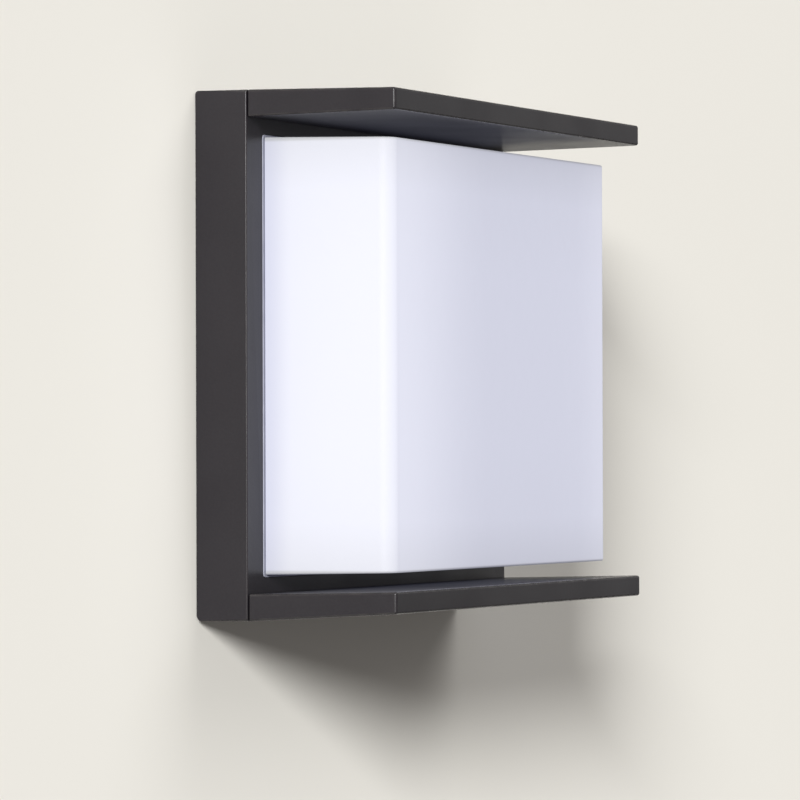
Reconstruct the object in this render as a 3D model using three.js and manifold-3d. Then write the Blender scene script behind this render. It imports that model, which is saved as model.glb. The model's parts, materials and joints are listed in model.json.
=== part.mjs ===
// Outdoor wall lantern: a shallow aluminium housing carries two projecting plates, above and below an
// opal light box, and hangs on a steel wall plate that two grub screws lock it to.
//
// Millimetres. +X runs to the right along the wall, +Y into the wall and +Z up. The origin is the middle
// of the wall plate's face on the wall, so the lantern stands out from the wall towards -Y.

import * as THREE from 'three';
import { mergeVertices } from 'three/addons/utils/BufferGeometryUtils.js';
import Module from 'manifold-3d';

// ---- driving dimensions --------------------------------------------------------------------------

const WIDTH = 235; // of the housing and of both plates
const HEIGHT = 175; // of the housing
const HOUSING_DEPTH = 18.4;
const PLATE_REACH = 53; // of each plate, out from the housing's front face
const PLATE_ROOT = 9; // thickness of a plate where it meets the housing
const PLATE_DRAFT = 0.031; // taper of a plate's outer face, in mm for each mm of reach
const PLATE_TIP = 0.0208; // rise of both plates towards the front, in mm for each mm of reach
const GAP = 0.3; // between two pieces that touch
const PLATE_SEAM = 0.6; // visible joint between the housing and each plate

const WALL = 2.5; // front wall of the housing
const SIDE_WALL = 5.5; // side walls of the housing, in front of the gasket ledge
const LIP_WALL = 3; // side walls behind the gasket ledge
const LEDGE_DEPTH = 4; // from the wall to the gasket ledge
const TOP_EDGE_RADIUS = 1.2; // wall-side edge of the housing's top
const BOTTOM_EDGE_RADIUS = 2; // wall-side edge of the housing's bottom

const DIFFUSER_INSET = 14; // from the housing's side to the diffuser's side
const DIFFUSER_HEIGHT = 145;
const DIFFUSER_REACH = 45.6; // from the housing's front face
const DIFFUSER_WALL = 2.4;
const DIFFUSER_DRAFT = 0.0173; // taper of each side, in mm for each mm of reach
const DIFFUSER_CORNER = 5; // radius of the two upright front edges
const DIFFUSER_SEAT = 0.5; // from the housing's front face to the diffuser's root
const GASKET_SEAT_DEPTH = 0.9; // of the shallow groove that the diffuser's gasket lies in
const GASKET_THICKNESS = 0.8;
const GASKET_RIM = 0.8; // of the gasket, showing all round the diffuser

const SHEET = 1.5; // steel of the wall plate
const FLANGE_REACH = 12; // of the wall plate's bent flanges, from the wall
const FLANGE_LENGTH = 190;
const CABLE_HOLE_RADIUS = 9.9;
const CABLE_HOLE_DROP = 38; // below the middle of the wall plate
const SLOT_SPACING = 120; // between the two wall-screw slots
const SLOT_LENGTH = 16;
const SLOT_WIDTH = 5.5;

const BOARD = { width: 168, height: 98, thickness: 1.6 };
const CHIP = { halfX: 1.75, halfZ: 1.4, height: 0.7, columns: 6, rows: 4, pitchX: 25, pitchZ: 20 };
const REFLECTOR = { halfX: 99, halfZ: 68, cutCorner: 14, sheet: 0.6, lipSheet: 0.8, lipHeight: 6 };
const REFLECTOR_WINDOW = { halfX: 74, halfZ: 40, radius: 3 };
const DRIVER = { width: 120, height: 34, thickness: 10.5, z: 42 };
const DRIVER_LUG = { x: 64.5, z: 51, reach: 68, thickness: 2, half: 5 };
const DRIVER_BORE = { y: -10, low: 31, high: 36, depth: 4 };
const TERMINAL = { width: 32, height: 18, thickness: 11, z: -10, pitch: 10 };
const POLES = { line: -TERMINAL.pitch, neutral: 0, earth: TERMINAL.pitch };
const POLE_BORE = { y: -11.5, depth: 6 };
const WIRE_RADIUS = 1.1;
const WIRE_BORE = 1.4; // radius of the hole that a wire goes into
const WIRE_STEPS = 20;
const LEAD_PAIR = 1.35; // of each LED lead, up or down from the middle of the lead hole

// ---- places that follow from them ----------------------------------------------------------------

const HALF_WIDTH = WIDTH / 2;
const HALF_HEIGHT = HEIGHT / 2;
const FRONT = -HOUSING_DEPTH; // front face of the housing
const INNER_FRONT = FRONT + WALL; // inner face of the housing's front wall
const SEAT = INNER_FRONT + GAP; // where pieces and screw heads rest on that inner face
const CAVITY = { x: HALF_WIDTH - SIDE_WALL, z: HALF_HEIGHT - SIDE_WALL };
const LIP = { x: HALF_WIDTH - LIP_WALL, z: HALF_HEIGHT - LIP_WALL };
const DIFFUSER_HALF = { x: HALF_WIDTH - DIFFUSER_INSET, z: DIFFUSER_HEIGHT / 2 };
const GASKET_OUTER = { x: DIFFUSER_HALF.x + GASKET_RIM, z: DIFFUSER_HALF.z + GASKET_RIM };
const GASKET_INNER = {
  x: DIFFUSER_HALF.x - DIFFUSER_WALL - 0.6,
  z: DIFFUSER_HALF.z - DIFFUSER_WALL - 0.6,
};
const DIFFUSER_ROOT = FRONT - DIFFUSER_SEAT;
const DIFFUSER_FRONT = FRONT - DIFFUSER_REACH;
const BOARD_BACK = FRONT - GAP;
const BOARD_FRONT = BOARD_BACK - BOARD.thickness;
const REFLECTOR_BACK = BOARD_FRONT - GAP;
const REFLECTOR_FRONT = REFLECTOR_BACK - REFLECTOR.sheet;
const PAD_Y = BOARD_FRONT - WIRE_RADIUS - 0.4; // depth of the leads' ends over the LED board
const BEYOND = 1; // how far a cutting piece runs past the face that it opens
const FLANGE_HALF_HEIGHT = CAVITY.z - GAP; // outer faces of the wall plate's flanges

// Screws, described by their shaft, head, and the places where they stand.
const PLATE_SCREW = { shaft: 1.6, head: 3, headHeight: 2.2, length: 15.1 };
const DIFFUSER_SCREW = { shaft: 1.5, head: 2.8, headHeight: 2, length: 12.4 };
const BOARD_SCREW = { shaft: 1.5, head: 2.8, headHeight: 1.8, length: 7.2 };
const DRIVER_SCREW = { shaft: 1.5, head: 2.8, headHeight: 1.8, length: 4.2 };
const BLOCK_SCREW = { shaft: 1.2, head: 2.2, headHeight: 1.6, length: 10.6 };
const EARTH_SCREW = { shaft: 2, head: 3.8, headHeight: 2.6, length: 5 };
const BLOCK_SCREW_SEAT = -7.2; // underside of the fixing screws' heads, in their counterbores
const CLAMP_SCREW = { radius: 1.6, top: -6, tip: -9.9, offset: 5, slotHalf: 0.3, slotDepth: 0.8 };
const LOCK_SCREW = { radius: 2, x: 70, y: -8, socket: 1.15, socketDepth: 2.2 };
const HOLE_CLEARANCE = 0.3; // radial, round every screw's shaft

const PLATE_SCREW_X = { left: -85, centre: 0, right: 85 };
const PLATE_SCREW_Z = 82.4;
const PLATE_SCREW_HOLE = 13; // depth in the plate
const HEAD_POCKET = 3.4; // radius of the pocket that clears a plate screw's head
const DIFFUSER_BOSS = { x: 96.5, z: 65.5, radius: 5, depth: 14, hole: 11 };
const BOARD_SCREW_AT = { x: 79, z: 45 };
const BOSS = { radius: 3.5, height: 3, hole: 4.5 };
const EARTH_BOSS = { x: 60, z: -52, radius: 4.5, height: 3 };
const LEAD_HOLE = { x: 66, z: 0, radius: 5 };
const DRIVER_SCREW_X = [-DRIVER_LUG.x, DRIVER_LUG.x];
const BLOCK_SCREW_X = [-TERMINAL.pitch / 2, TERMINAL.pitch / 2];
const EARTH_RING = {
  back: INNER_FRONT + EARTH_BOSS.height + GAP,
  thickness: 0.8,
  radius: 4.2,
  barrel: 1.9,
};
const EARTH_WIRE_Y = EARTH_RING.back + EARTH_RING.barrel;

// ---- colours and finishes ------------------------------------------------------------------------

function finish(color, roughness, metalness) {
  return new THREE.MeshStandardMaterial({ color, roughness, metalness });
}

const FINISHES = {
  powderCoat: finish(0x3c3a3d, 0.45, 0.3),
  opal: finish(0xeef0fa, 0.35, 0),
  zincSteel: finish(0xb9bcc0, 0.35, 0.9),
  steel: finish(0xa9abae, 0.3, 1),
  darkRubber: finish(0x2a2a2c, 0.8, 0),
  greySilicone: finish(0x898995, 0.7, 0),
  whiteSheet: finish(0xf4f4f2, 0.5, 0.1),
  board: finish(0xf6f5ee, 0.45, 0),
  driverCase: finish(0xe6e6e3, 0.5, 0),
  blockPlastic: finish(0xd9d5c8, 0.5, 0),
  brass: finish(0xc9a55a, 0.3, 1),
  brownWire: finish(0x5a3220, 0.5, 0),
  blueWire: finish(0x2a5fa8, 0.5, 0),
  greenYellowWire: finish(0x7fa52c, 0.5, 0),
  redWire: finish(0xb02a24, 0.5, 0),
  blackWire: finish(0x1d1d1f, 0.5, 0),
};

// ---- solids --------------------------------------------------------------------------------------

const wasm = await Module();
wasm.setup();

function toSolid(geometry) {
  const bare = geometry.clone();
  bare.deleteAttribute('normal');
  bare.deleteAttribute('uv');
  const merged = mergeVertices(bare, 1e-5);
  const mesh = new wasm.Mesh({
    numProp: 3,
    vertProperties: new Float32Array(merged.attributes.position.array),
    triVerts: new Uint32Array(merged.index.array),
  });
  return new wasm.Manifold(mesh);
}

function toGeometry(solid) {
  const mesh = solid.getMesh();
  const geometry = new THREE.BufferGeometry();
  geometry.setAttribute('position', new THREE.BufferAttribute(mesh.vertProperties, 3));
  geometry.setIndex(new THREE.BufferAttribute(mesh.triVerts, 1));
  geometry.computeVertexNormals();
  return geometry;
}

// One geometry from a base, pieces joined to it, and then pieces cut from it.
function combine(base, { add = [], cut = [] }) {
  let solid = toSolid(base);
  for (const piece of add) solid = solid.add(toSolid(piece));
  for (const piece of cut) solid = solid.subtract(toSolid(piece));
  return toGeometry(solid);
}

// A block between two corners.
function block([x0, y0, z0], [x1, y1, z1]) {
  const geometry = new THREE.BoxGeometry(Math.abs(x1 - x0), Math.abs(y1 - y0), Math.abs(z1 - z0));
  return geometry.translate((x0 + x1) / 2, (y0 + y1) / 2, (z0 + z1) / 2);
}

// A round bar along Y, between two depths.
function barY(radius, yFrom, yTo, x = 0, z = 0, segments = 16) {
  const geometry = new THREE.CylinderGeometry(radius, radius, Math.abs(yTo - yFrom), segments);
  return geometry.translate(x, (yFrom + yTo) / 2, z);
}

function barZ(radius, zFrom, zTo, x = 0, y = 0, segments = 20) {
  const geometry = new THREE.CylinderGeometry(radius, radius, Math.abs(zTo - zFrom), segments);
  return geometry.rotateX(Math.PI / 2).translate(x, y, (zFrom + zTo) / 2);
}

function barX(radius, xFrom, xTo, y = 0, z = 0, segments = 12) {
  const geometry = new THREE.CylinderGeometry(radius, radius, Math.abs(xTo - xFrom), segments);
  return geometry.rotateZ(Math.PI / 2).translate((xFrom + xTo) / 2, y, z);
}

// An outline in X and Z, extruded from one depth towards the front.
function prismY(shape, yBack, yFront) {
  const geometry = new THREE.ExtrudeGeometry(shape, {
    depth: yBack - yFront,
    bevelEnabled: false,
    curveSegments: 6,
  });
  return geometry.rotateX(Math.PI / 2).translate(0, yBack, 0);
}

// A side profile in Y and Z, extruded along X and centred on it.
function prismX(shape, length, curveSegments = 6) {
  const geometry = new THREE.ExtrudeGeometry(shape, { depth: length, bevelEnabled: false, curveSegments });
  const turn = new THREE.Matrix4().makeBasis(
    new THREE.Vector3(0, 1, 0),
    new THREE.Vector3(0, 0, 1),
    new THREE.Vector3(1, 0, 0),
  );
  return geometry.applyMatrix4(turn).translate(-length / 2, 0, 0);
}

function roundedRectangle(halfX, halfZ, radius) {
  const shape = new THREE.Shape();
  shape.absarc(halfX - radius, halfZ - radius, radius, 0, Math.PI / 2);
  shape.absarc(-halfX + radius, halfZ - radius, radius, Math.PI / 2, Math.PI);
  shape.absarc(-halfX + radius, -halfZ + radius, radius, Math.PI, 1.5 * Math.PI);
  shape.absarc(halfX - radius, -halfZ + radius, radius, 1.5 * Math.PI, 2 * Math.PI);
  shape.closePath();
  return shape;
}

// A flat ring between two rounded rectangles.
function ringY(outer, inner, radius, yBack, yFront) {
  const shape = roundedRectangle(outer.x, outer.z, radius);
  shape.holes.push(roundedRectangle(inner.x, inner.z, Math.max(radius - 1, 0.4)));
  return prismY(shape, yBack, yFront);
}

function grown(half, amount) {
  return { x: half.x + amount, z: half.z + amount };
}

// The four mirrored places of a point, with names for them.
function cornersOf({ x, z }) {
  return {
    top_left: [-x, z],
    top_right: [x, z],
    bottom_left: [-x, -z],
    bottom_right: [x, -z],
  };
}

// A pan-head screw along Y: the head's underside is at y = 0 and the shaft points to the front.
function panHeadScrew({ shaft, head, headHeight, length }) {
  const tipChamfer = shaft * 0.4;
  const crown = head * 0.6;
  const profile = [
    new THREE.Vector2(0, -length),
    new THREE.Vector2(shaft - tipChamfer, -length),
    new THREE.Vector2(shaft, -length + tipChamfer),
    new THREE.Vector2(shaft, 0),
    new THREE.Vector2(head, 0),
    new THREE.Vector2(head, headHeight * 0.5),
    new THREE.Vector2(crown, headHeight),
    new THREE.Vector2(0, headHeight),
  ];
  const body = new THREE.LatheGeometry(profile, 10);
  const slotHalf = head * 0.13;
  const slotReach = head * 0.62;
  const slotFloor = headHeight * 0.45;
  const crossSlots = [
    block([-slotReach, slotFloor, -slotHalf], [slotReach, headHeight + 1, slotHalf]),
    block([-slotHalf, slotFloor, -slotReach], [slotHalf, headHeight + 1, slotReach]),
  ];
  return combine(body, { cut: crossSlots });
}

// An insulated wire through hand-placed points.
function wire(points) {
  const places = points.map((point) => new THREE.Vector3(...point));
  const path = new THREE.CatmullRomCurve3(places, false, 'centripetal');
  const section = new THREE.Shape();
  section.absarc(0, 0, WIRE_RADIUS, 0, 2 * Math.PI);
  return new THREE.ExtrudeGeometry(section, { extrudePath: path, steps: WIRE_STEPS, curveSegments: 4 });
}

// ---- the wall plate and what stays on the wall ---------------------------------------------------

function wallPlate() {
  const outerBend = 2.5;
  const innerBend = outerBend - SHEET;
  const z = FLANGE_HALF_HEIGHT;
  const channel = new THREE.Shape();
  channel.absarc(-outerBend, z - outerBend, outerBend, 0, Math.PI / 2);
  channel.lineTo(-FLANGE_REACH, z);
  channel.lineTo(-FLANGE_REACH, z - SHEET);
  channel.absarc(-outerBend, z - outerBend, innerBend, Math.PI / 2, 0, true);
  channel.absarc(-outerBend, -z + outerBend, innerBend, 0, -Math.PI / 2, true);
  channel.lineTo(-FLANGE_REACH, -z + SHEET);
  channel.lineTo(-FLANGE_REACH, -z);
  channel.absarc(-outerBend, -z + outerBend, outerBend, -Math.PI / 2, 0);
  channel.closePath();

  const wings = prismY(roundedRectangle(CAVITY.x - 0.5, z - 5, 4), 0, -SHEET);
  const slotHalf = SLOT_WIDTH / 2;
  const slotOutline = roundedRectangle(SLOT_LENGTH / 2, slotHalf, slotHalf - 0.01);
  const slots = [-SLOT_SPACING / 2, SLOT_SPACING / 2].map((x) =>
    prismY(slotOutline, BEYOND, -SHEET - BEYOND).translate(x, 0, 0),
  );
  const cableHole = barY(CABLE_HOLE_RADIUS, BEYOND, -SHEET - BEYOND, 0, -CABLE_HOLE_DROP, 32);
  return combine(prismX(channel, FLANGE_LENGTH), { add: [wings], cut: [...slots, cableHole] });
}

// A rubber bush round the supply cable, turned about Y.
function cableGrommet() {
  const bore = 4.5;
  const neck = CABLE_HOLE_RADIUS - GAP;
  const rim = 12;
  const backFace = -0.2;
  const shoulder = -SHEET - GAP;
  const rimFront = -3.6;
  const nose = -6.5;
  const profile = [
    new THREE.Vector2(bore, nose),
    new THREE.Vector2(bore + 1, nose),
    new THREE.Vector2(bore + 2.5, rimFront),
    new THREE.Vector2(rim - 0.6, rimFront),
    new THREE.Vector2(rim, rimFront + 0.6),
    new THREE.Vector2(rim, shoulder),
    new THREE.Vector2(neck, shoulder),
    new THREE.Vector2(neck, backFace),
    new THREE.Vector2(bore, backFace),
    new THREE.Vector2(bore, nose),
  ];
  return new THREE.LatheGeometry(profile, 24);
}

// ---- the housing and its gaskets -----------------------------------------------------------------

function rearHousing() {
  const side = new THREE.Shape();
  const bottomArc = [-BOTTOM_EDGE_RADIUS, -HALF_HEIGHT + BOTTOM_EDGE_RADIUS, BOTTOM_EDGE_RADIUS];
  const topArc = [-TOP_EDGE_RADIUS, HALF_HEIGHT - TOP_EDGE_RADIUS, TOP_EDGE_RADIUS];
  side.moveTo(FRONT, HALF_HEIGHT);
  side.lineTo(FRONT, -HALF_HEIGHT);
  side.absarc(...bottomArc, -Math.PI / 2, 0);
  side.absarc(...topArc, 0, Math.PI / 2);
  side.closePath();
  const lipSpace = prismY(roundedRectangle(LIP.x, LIP.z, 2), BEYOND, -LEDGE_DEPTH);
  const cavity = prismY(roundedRectangle(CAVITY.x, CAVITY.z, 3), BEYOND, INNER_FRONT);
  const tray = combine(prismX(side, WIDTH), { cut: [lipSpace, cavity] });

  const bosses = [];
  const cuts = [];
  const boss = (radius, height, x, z) => {
    bosses.push(barY(radius, INNER_FRONT + height, INNER_FRONT - BEYOND, x, z));
  };
  // A screw hole that runs from a depth inside the housing through its front face.
  const through = (screw, from, x, z) => {
    cuts.push(barY(screw.shaft + HOLE_CLEARANCE, from + BEYOND, FRONT - BEYOND, x, z, 12));
  };
  // A screw hole that stops short of the front face.
  const blind = (screw, from, x, z) => {
    cuts.push(barY(screw.shaft + HOLE_CLEARANCE, from + BEYOND, FRONT + 0.5, x, z, 12));
  };

  for (const [x, z] of Object.values(cornersOf(BOARD_SCREW_AT))) {
    boss(BOSS.radius, BOSS.height, x, z);
    through(BOARD_SCREW, FRONT + BOSS.hole - BEYOND, x, z);
  }
  for (const [x, z] of Object.values(cornersOf(DIFFUSER_BOSS))) {
    through(DIFFUSER_SCREW, INNER_FRONT, x, z);
  }
  for (const x of Object.values(PLATE_SCREW_X)) {
    for (const z of [PLATE_SCREW_Z, -PLATE_SCREW_Z]) {
      through(PLATE_SCREW, INNER_FRONT, x, z);
      cuts.push(barY(HEAD_POCKET, -LEDGE_DEPTH + BEYOND, INNER_FRONT, x, z));
    }
  }
  for (const x of DRIVER_SCREW_X) blind(DRIVER_SCREW, INNER_FRONT, x, DRIVER_LUG.z);
  for (const x of BLOCK_SCREW_X) blind(BLOCK_SCREW, INNER_FRONT, x, TERMINAL.z);
  boss(EARTH_BOSS.radius, EARTH_BOSS.height, EARTH_BOSS.x, EARTH_BOSS.z);
  blind(EARTH_SCREW, INNER_FRONT + EARTH_BOSS.height, EARTH_BOSS.x, EARTH_BOSS.z);
  const leadHole = [INNER_FRONT + BEYOND, FRONT - BEYOND, LEAD_HOLE.x, LEAD_HOLE.z];
  cuts.push(barY(LEAD_HOLE.radius, ...leadHole, 24));
  for (const x of [-LOCK_SCREW.x, LOCK_SCREW.x]) {
    const bore = LOCK_SCREW.radius + 0.1;
    cuts.push(barZ(bore, -HALF_HEIGHT - BEYOND, -CAVITY.z + BEYOND, x, LOCK_SCREW.y, 24));
  }
  // The shallow groove that the diffuser's gasket lies in.
  const grooveOuter = grown(GASKET_OUTER, GAP);
  const grooveInner = grown(GASKET_INNER, -GAP);
  cuts.push(ringY(grooveOuter, grooveInner, 1.6, FRONT + GASKET_SEAT_DEPTH, FRONT - BEYOND));
  return combine(tray, { add: bosses, cut: cuts });
}

function diffuserGasket() {
  const back = FRONT + GASKET_SEAT_DEPTH - GAP;
  return ringY(GASKET_OUTER, GASKET_INNER, 1.4, back, back - GASKET_THICKNESS);
}

function wallGasket() {
  return ringY(grown(LIP, -GAP), CAVITY, 1.8, 0, -LEDGE_DEPTH + GAP);
}

// ---- the projecting plates -----------------------------------------------------------------------

// side is 1 for the top plate and -1 for the bottom one, which mirrors it but rises the same way.
function plate(side) {
  const root = FRONT - PLATE_SEAM;
  const front = FRONT - PLATE_REACH;
  const rise = PLATE_TIP * PLATE_REACH;
  const outer = side * HALF_HEIGHT;
  const inner = side * (HALF_HEIGHT - PLATE_ROOT);
  const corners = [
    [root, inner],
    [root, outer],
    [front, outer - side * PLATE_DRAFT * PLATE_REACH + rise],
    [front, inner + rise],
  ];
  if (side > 0) corners.reverse();
  const profile = new THREE.Shape(corners.map(([y, z]) => new THREE.Vector2(y, z)));
  const holes = [];
  for (const x of Object.values(PLATE_SCREW_X)) {
    const radius = PLATE_SCREW.shaft + HOLE_CLEARANCE;
    holes.push(barY(radius, root + BEYOND, root - PLATE_SCREW_HOLE, x, side * PLATE_SCREW_Z, 12));
  }
  return combine(prismX(profile, WIDTH), { cut: holes });
}

// ---- the diffuser --------------------------------------------------------------------------------

// A block with two rounded upright front edges, which tapers towards the front on every side.
function taperedBlock(half, yBack, yFront, radius) {
  const taper = DIFFUSER_DRAFT * (yBack - yFront);
  const frontX = half.x - taper;
  const plan = new THREE.Shape();
  plan.moveTo(half.x, yBack);
  plan.lineTo(-half.x, yBack);
  plan.lineTo(-frontX, yFront + radius);
  plan.absarc(-frontX + radius, yFront + radius, radius, Math.PI, 1.5 * Math.PI);
  plan.absarc(frontX - radius, yFront + radius, radius, 1.5 * Math.PI, 2 * Math.PI);
  plan.closePath();
  const geometry = new THREE.ExtrudeGeometry(plan, {
    depth: 2 * half.z,
    bevelEnabled: false,
    curveSegments: 10,
  });
  geometry.translate(0, 0, -half.z);
  const position = geometry.attributes.position;
  for (let i = 0; i < position.count; i += 1) {
    const z = position.getZ(i);
    const lean = DIFFUSER_DRAFT * (yBack - position.getY(i));
    position.setZ(i, z - Math.sign(z) * lean);
  }
  return geometry;
}

function diffuser() {
  const outside = taperedBlock(DIFFUSER_HALF, DIFFUSER_ROOT, DIFFUSER_FRONT, DIFFUSER_CORNER);
  const beyond = 3;
  const insideHalf = grown(DIFFUSER_HALF, -DIFFUSER_WALL + DIFFUSER_DRAFT * beyond);
  const insideFront = DIFFUSER_FRONT + DIFFUSER_WALL;
  const insideRadius = DIFFUSER_CORNER - DIFFUSER_WALL;
  const inside = taperedBlock(insideHalf, DIFFUSER_ROOT + beyond, insideFront, insideRadius);
  const shell = combine(outside, { cut: [inside] });
  const bosses = [];
  const holes = [];
  for (const [x, z] of Object.values(cornersOf(DIFFUSER_BOSS))) {
    bosses.push(barY(DIFFUSER_BOSS.radius, DIFFUSER_ROOT, DIFFUSER_ROOT - DIFFUSER_BOSS.depth, x, z));
    const radius = DIFFUSER_SCREW.shaft + HOLE_CLEARANCE;
    holes.push(barY(radius, DIFFUSER_ROOT + BEYOND, DIFFUSER_ROOT - DIFFUSER_BOSS.hole, x, z, 12));
  }
  return combine(shell, { add: bosses, cut: holes });
}

// ---- the light source ----------------------------------------------------------------------------

function ledBoard() {
  const outline = roundedRectangle(BOARD.width / 2, BOARD.height / 2, 2);
  const sheet = prismY(outline, BOARD_BACK, BOARD_FRONT);
  const sunk = 0.2; // of each chip in the board, so that they are one body
  const chips = [];
  for (let column = 0; column < CHIP.columns; column += 1) {
    for (let row = 0; row < CHIP.rows; row += 1) {
      const x = (column - (CHIP.columns - 1) / 2) * CHIP.pitchX;
      const z = (row - (CHIP.rows - 1) / 2) * CHIP.pitchZ;
      const low = [x - CHIP.halfX, BOARD_FRONT + sunk, z - CHIP.halfZ];
      chips.push(block(low, [x + CHIP.halfX, BOARD_FRONT - CHIP.height, z + CHIP.halfZ]));
    }
  }
  const span = [BOARD_BACK + BEYOND, BOARD_FRONT - BEYOND];
  const leadHole = barY(LEAD_HOLE.radius, ...span, LEAD_HOLE.x, LEAD_HOLE.z);
  return combine(sheet, { add: chips, cut: [leadHole, ...boardScrewHoles(...span)] });
}

function boardScrewHoles(from, to) {
  const radius = BOARD_SCREW.shaft + HOLE_CLEARANCE;
  return Object.values(cornersOf(BOARD_SCREW_AT)).map(([x, z]) => barY(radius, from, to, x, z, 12));
}

// A white sheet frame round the LEDs, with its corners cut back for the diffuser's bosses.
function reflector() {
  const outline = (inset) => {
    const x = REFLECTOR.halfX - inset;
    const z = REFLECTOR.halfZ - inset;
    const cut = REFLECTOR.cutCorner - 0.6 * inset; // keeps the lip as thick across the corners
    const quarter = [
      [x, z - cut],
      [x - cut, z],
    ];
    const upper = [...quarter, ...quarter.map(([u, v]) => [-u, v]).reverse()];
    const lower = upper.map(([u, v]) => [-u, -v]);
    return [...upper, ...lower].map(([u, v]) => new THREE.Vector2(u, v));
  };
  const flat = new THREE.Shape(outline(0));
  flat.holes.push(
    roundedRectangle(REFLECTOR_WINDOW.halfX, REFLECTOR_WINDOW.halfZ, REFLECTOR_WINDOW.radius),
  );
  const lip = new THREE.Shape(outline(0));
  lip.holes.push(new THREE.Path(outline(REFLECTOR.lipSheet)));
  return combine(prismY(flat, REFLECTOR_BACK, REFLECTOR_FRONT), {
    add: [prismY(lip, REFLECTOR_BACK, REFLECTOR_BACK - REFLECTOR.lipHeight)],
    cut: boardScrewHoles(REFLECTOR_BACK + BEYOND, REFLECTOR_FRONT - BEYOND),
  });
}

// The bush that takes both LED leads through the housing's front wall, turned about Y.
function leadGrommet() {
  const bore = 2.9;
  const neck = LEAD_HOLE.radius - GAP;
  const rim = 6.5;
  const profile = [
    new THREE.Vector2(bore, FRONT + 0.2),
    new THREE.Vector2(neck, FRONT + 0.2),
    new THREE.Vector2(neck, SEAT),
    new THREE.Vector2(rim, SEAT),
    new THREE.Vector2(rim - 0.4, SEAT + 1.4),
    new THREE.Vector2(bore, SEAT + 1.4),
    new THREE.Vector2(bore, FRONT + 0.2),
  ];
  return new THREE.LatheGeometry(profile, 20).translate(LEAD_HOLE.x, 0, LEAD_HOLE.z);
}

// ---- the driver and the terminals ----------------------------------------------------------------

function ledDriver() {
  const half = DRIVER.width / 2;
  const low = DRIVER.z - DRIVER.height / 2;
  const high = DRIVER.z + DRIVER.height / 2;
  const radius = 1.5;
  const cover = SEAT + DRIVER.thickness;
  const profile = new THREE.Shape();
  profile.moveTo(SEAT, high);
  profile.lineTo(SEAT, low);
  profile.absarc(cover - radius, low + radius, radius, -Math.PI / 2, 0);
  profile.absarc(cover - radius, high - radius, radius, 0, Math.PI / 2);
  profile.closePath();
  const lugs = block(
    [-DRIVER_LUG.reach, SEAT, DRIVER_LUG.z - DRIVER_LUG.half],
    [DRIVER_LUG.reach, SEAT + DRIVER_LUG.thickness, DRIVER_LUG.z + DRIVER_LUG.half],
  );
  const screwRadius = DRIVER_SCREW.shaft + HOLE_CLEARANCE;
  const lugFront = SEAT + DRIVER_LUG.thickness + BEYOND;
  const cuts = DRIVER_SCREW_X.map((x) => barY(screwRadius, SEAT - BEYOND, lugFront, x, DRIVER_LUG.z, 12));
  for (const z of [DRIVER_BORE.low, DRIVER_BORE.high]) {
    cuts.push(barX(WIRE_BORE, -half - BEYOND, -half + DRIVER_BORE.depth, DRIVER_BORE.y, z));
    cuts.push(barX(WIRE_BORE, half - DRIVER_BORE.depth, half + BEYOND, DRIVER_BORE.y, z));
  }
  return combine(prismX(profile, DRIVER.width), { add: [lugs], cut: cuts });
}

function terminalBlock() {
  const top = SEAT + TERMINAL.thickness;
  const halfX = TERMINAL.width / 2;
  const halfZ = TERMINAL.height / 2;
  const body = block([-halfX, SEAT, TERMINAL.z - halfZ], [halfX, top, TERMINAL.z + halfZ]);
  const cuts = [];
  for (const x of Object.values(POLES)) {
    for (const side of [-1, 1]) {
      const edge = TERMINAL.z + side * halfZ;
      const from = edge - side * POLE_BORE.depth;
      cuts.push(barZ(WIRE_BORE, from, edge + side * BEYOND, x, POLE_BORE.y, 12));
      const screwZ = TERMINAL.z + side * CLAMP_SCREW.offset;
      const screwRadius = CLAMP_SCREW.radius + HOLE_CLEARANCE;
      cuts.push(barY(screwRadius, top + BEYOND, POLE_BORE.y, x, screwZ, 12));
    }
  }
  const shaftRadius = BLOCK_SCREW.shaft + HOLE_CLEARANCE;
  const headRadius = BLOCK_SCREW.head + HOLE_CLEARANCE;
  for (const x of BLOCK_SCREW_X) {
    cuts.push(barY(shaftRadius, SEAT - BEYOND, top + BEYOND, x, TERMINAL.z, 12));
    cuts.push(barY(headRadius, BLOCK_SCREW_SEAT - GAP, top + BEYOND, x, TERMINAL.z, 12));
  }
  return combine(body, { cut: cuts });
}

function clampScrew() {
  const { radius, top, tip, slotHalf, slotDepth } = CLAMP_SCREW;
  const slot = block([-radius, top - slotDepth, -slotHalf], [radius, top + BEYOND, slotHalf]);
  return combine(barY(radius, top, tip, 0, 0, 12), { cut: [slot] });
}

// A crimped ring terminal, with its barrel towards -X.
function earthRing() {
  const { back, thickness, radius } = EARTH_RING;
  const { x, z } = EARTH_BOSS;
  const front = back + thickness;
  const barrelFrom = x - 10;
  const barrelTo = x - 4.6;
  const ring = barY(radius, back, front, x, z, 20);
  const barrel = barX(EARTH_RING.barrel, barrelFrom, barrelTo, EARTH_WIRE_Y, z);
  const tongue = block([barrelTo - 0.8, back, z - 1.6], [x - 3, front, z + 1.6]);
  const screwHole = barY(EARTH_SCREW.shaft + HOLE_CLEARANCE, front + 3, back - BEYOND, x, z);
  const wireBore = barX(WIRE_BORE, barrelFrom - BEYOND, barrelFrom + 4, EARTH_WIRE_Y, z);
  return combine(ring, { add: [tongue, barrel], cut: [screwHole, wireBore] });
}

// ---- the leads -----------------------------------------------------------------------------------

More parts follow.
